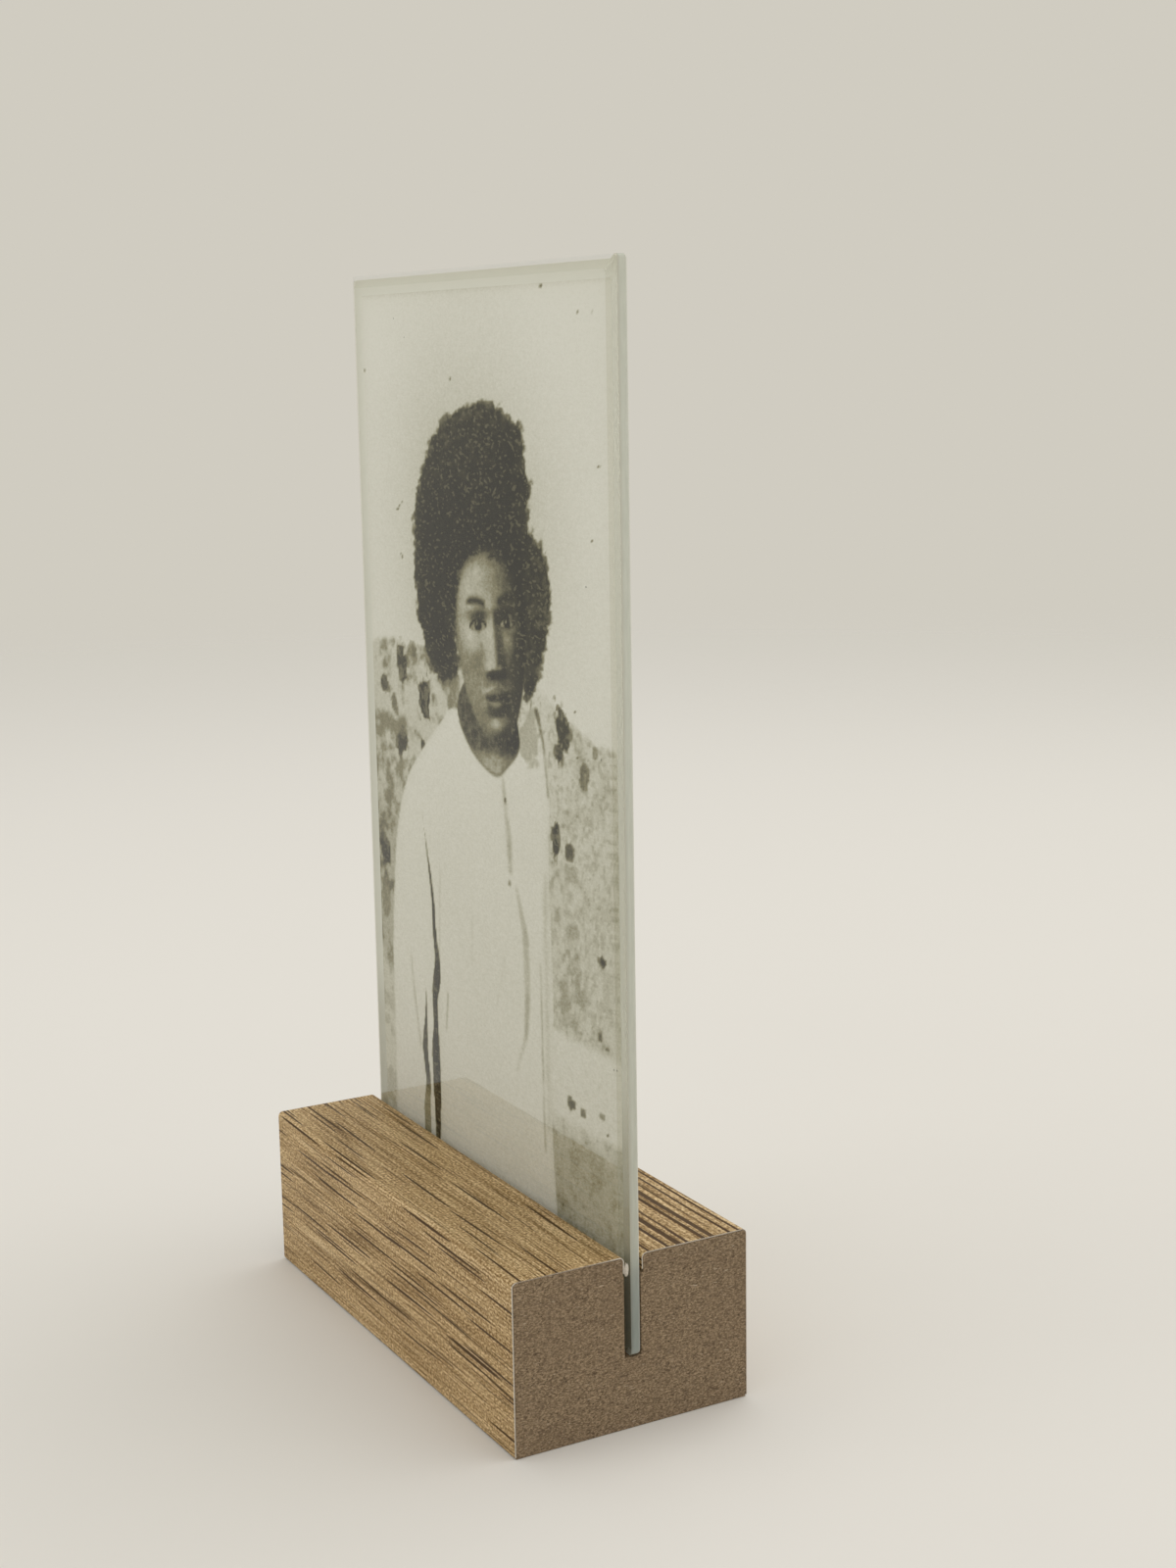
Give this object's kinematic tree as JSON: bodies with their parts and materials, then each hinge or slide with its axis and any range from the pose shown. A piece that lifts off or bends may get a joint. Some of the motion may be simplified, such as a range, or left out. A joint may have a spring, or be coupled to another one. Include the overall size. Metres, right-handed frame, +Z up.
{
  "type": "glass photo plaque with wood base",
  "caption": "Upright glass plate with a picture printed on its rear, standing in a saw-cut groove along a foil-wrapped fibreboard block.",
  "frame": {"origin": "middle of the base's underside", "axes": "+Z up, +X along the base towards the end that the plate stands a little past, +Y away from the viewer of the picture"},
  "size_m": [0.1004, 0.0452, 0.193],
  "materials": {
    "fibreboard": "bare sawn fibreboard",
    "oak_foil": "satin wood-print foil",
    "clear_glass": "clear with a bevelled front and satin ground edges",
    "picture_ink": "printed monochrome picture",
    "white_ink": "matt white ink"
  },
  "bodies": {
    "base": {"base_core": "fibreboard", "front_foil": "oak_foil", "rear_foil": "oak_foil"},
    "plate": {"glass_plate": "clear_glass", "picture_print": "picture_ink", "white_backing": "white_ink"}
  },
  "joints": [
    {"name": "glass_lift", "type": "slide", "parent": "base", "child": "plate", "axis": [0, 0, 1], "range_m": [0, 0.02]}
  ]
}
